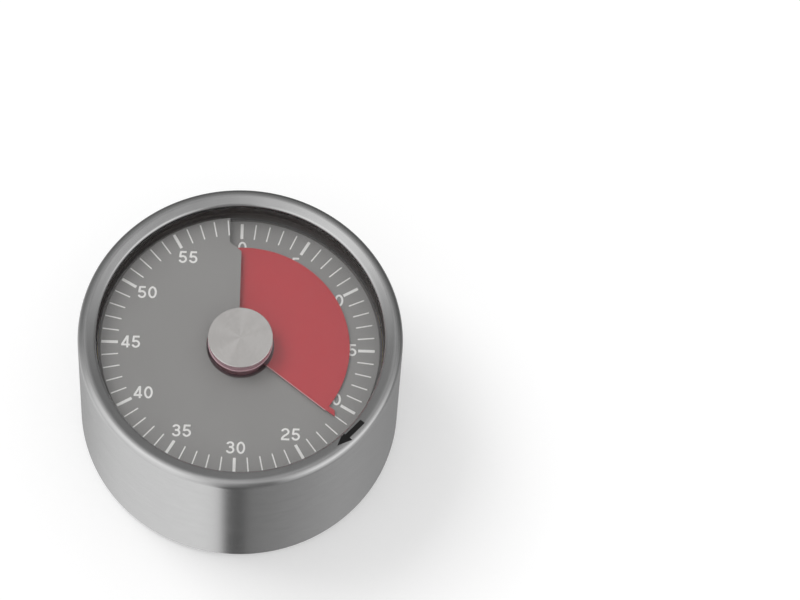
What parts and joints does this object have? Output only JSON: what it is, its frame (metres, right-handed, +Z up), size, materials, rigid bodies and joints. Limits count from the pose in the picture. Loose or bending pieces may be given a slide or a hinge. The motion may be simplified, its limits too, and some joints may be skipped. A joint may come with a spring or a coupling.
{
  "type": "kitchen timer",
  "caption": "Round wind-up kitchen timer: a turned steel housing with a lens over a spiral minute dial and a red disc that shows the time left.",
  "frame": {"origin": "centre of the rubber foot's resting plane", "axes": "+Z up along the axis that the housing turns on, +Y towards the 0 mark of the dial, +X towards the 15 mark"},
  "size_m": [0.065, 0.065, 0.0385],
  "materials": {
    "housing_steel": "satin drawn steel sheet",
    "hub_steel": "turned steel with circular brushing",
    "lens_clear": "clear polished plastic",
    "rim_plastic": "dark moulded plastic",
    "seat_plastic": "dark grey moulded plastic",
    "tub_plastic": "black moulded plastic with a fine grain",
    "dial_grey": "grey sheet with white printed marks",
    "disc_red": "red film, slightly glossy",
    "collar_red": "dark red moulded plastic",
    "foot_rubber": "matt black rubber",
    "magnet_nickel": "nickel plated",
    "glide_plastic": "natural acetal",
    "plate_brass": "plain brass sheet",
    "wheel_brass": "stamped brass",
    "arbor_steel": "turned steel",
    "spring_steel": "blued spring steel",
    "bell_steel": "nickel plated steel"
  },
  "bodies": {
    "base": {"foot_ring": "foot_rubber", "base_tub": "tub_plastic", "magnets": "magnet_nickel", "glide_ring": "glide_plastic", "bell": "bell_steel", "bell_post": "plate_brass", "bell_screw": "arbor_steel", "rear_plate": "plate_brass", "front_plate": "plate_brass", "pillars": "arbor_steel", "pillar_screws": "arbor_steel", "movement_screws": "arbor_steel", "mainspring": "spring_steel", "spring_post": "arbor_steel", "dial_carrier": "seat_plastic", "carrier_screws": "arbor_steel", "dial": "dial_grey", "hammer_spring": "spring_steel", "release_stud": "arbor_steel", "release_spring": "spring_steel"},
    "housing": {"housing_cup": "housing_steel", "lens_gasket": "rim_plastic", "lens": "lens_clear", "lens_seat": "seat_plastic", "hub_cap": "hub_steel", "hub_boss": "seat_plastic", "hub_screw": "arbor_steel", "main_arbor": "arbor_steel", "ratchet_wheel": "arbor_steel", "great_wheel": "wheel_brass", "click": "arbor_steel", "click_spring": "spring_steel", "click_studs": "arbor_steel", "release_cam": "wheel_brass"},
    "time_disc": {"red_disc": "disc_red", "disc_collar": "collar_red"},
    "second_arbor": {"second_wheel": "wheel_brass", "second_pinion": "arbor_steel"},
    "third_arbor": {"third_wheel": "wheel_brass", "third_pinion": "arbor_steel"},
    "escape_arbor": {"escape_wheel": "wheel_brass", "escape_pinion": "arbor_steel"},
    "strike_arbor": {"strike_star": "wheel_brass", "strike_pinion": "arbor_steel"},
    "pallet_anchor": {"anchor": "arbor_steel", "anchor_pins": "arbor_steel", "anchor_weight": "wheel_brass", "anchor_arbor": "arbor_steel"},
    "hammer": {"hammer_arbor": "arbor_steel", "hammer_arm": "arbor_steel", "hammer_head": "plate_brass", "hammer_tail": "arbor_steel"},
    "release": {"release_lever": "arbor_steel", "catch_pin": "arbor_steel"}
  },
  "joints": [
    {"name": "housing_turn", "type": "hinge", "parent": "base", "child": "housing", "pos_m": [0, 0, 0.02], "axis": [0, 0, -1], "range_deg": [-127.8, 232.2]},
    {"name": "disc_lift", "type": "slide", "parent": "housing", "child": "time_disc", "axis": [0, 0, 1], "range_m": [-0.00068, 0.00123]},
    {"name": "second_turn", "type": "hinge", "parent": "base", "child": "second_arbor", "pos_m": [0.0144, 0, 0.02], "axis": [0, 0, -1], "range_deg": [-1161, 639]},
    {"name": "third_turn", "type": "hinge", "parent": "base", "child": "third_arbor", "pos_m": [0.01666, 0.00845, 0.02], "axis": [0, 0, -1], "range_deg": [-2556, 4644]},
    {"name": "escape_turn", "type": "hinge", "parent": "base", "child": "escape_arbor", "pos_m": [0.0113, 0.01295, 0.02], "axis": [0, 0, -1], "range_deg": [-13932, 7668]},
    {"name": "strike_turn", "type": "hinge", "parent": "base", "child": "strike_arbor", "pos_m": [-0.0144, 0, 0.02], "axis": [0, 0, -1], "range_deg": [-1161, 639]},
    {"name": "anchor_swing", "type": "hinge", "parent": "base", "child": "pallet_anchor", "pos_m": [0.00737, 0.01764, 0.02], "axis": [0, 0, 1], "range_deg": [-7, 7]},
    {"name": "hammer_strike", "type": "hinge", "parent": "base", "child": "hammer", "pos_m": [-0.0249, -0.00906, 0.02], "axis": [0, 0, 1], "range_deg": [-5, 2], "stiffness_Nm_per_rad": 0.002},
    {"name": "release_lift", "type": "hinge", "parent": "base", "child": "release", "pos_m": [0.00473, -0.01148, 0.02], "axis": [0, 0, 1], "range_deg": [0, 3], "stiffness_Nm_per_rad": 0.002}
  ],
  "couplings": [
    {"joint": "disc_lift", "follows": "housing_turn", "m_per_rad": 0.00030239},
    {"joint": "second_turn", "follows": "housing_turn", "ratio": -5},
    {"joint": "third_turn", "follows": "housing_turn", "ratio": 20},
    {"joint": "escape_turn", "follows": "housing_turn", "ratio": -60},
    {"joint": "strike_turn", "follows": "housing_turn", "ratio": -5}
  ]
}
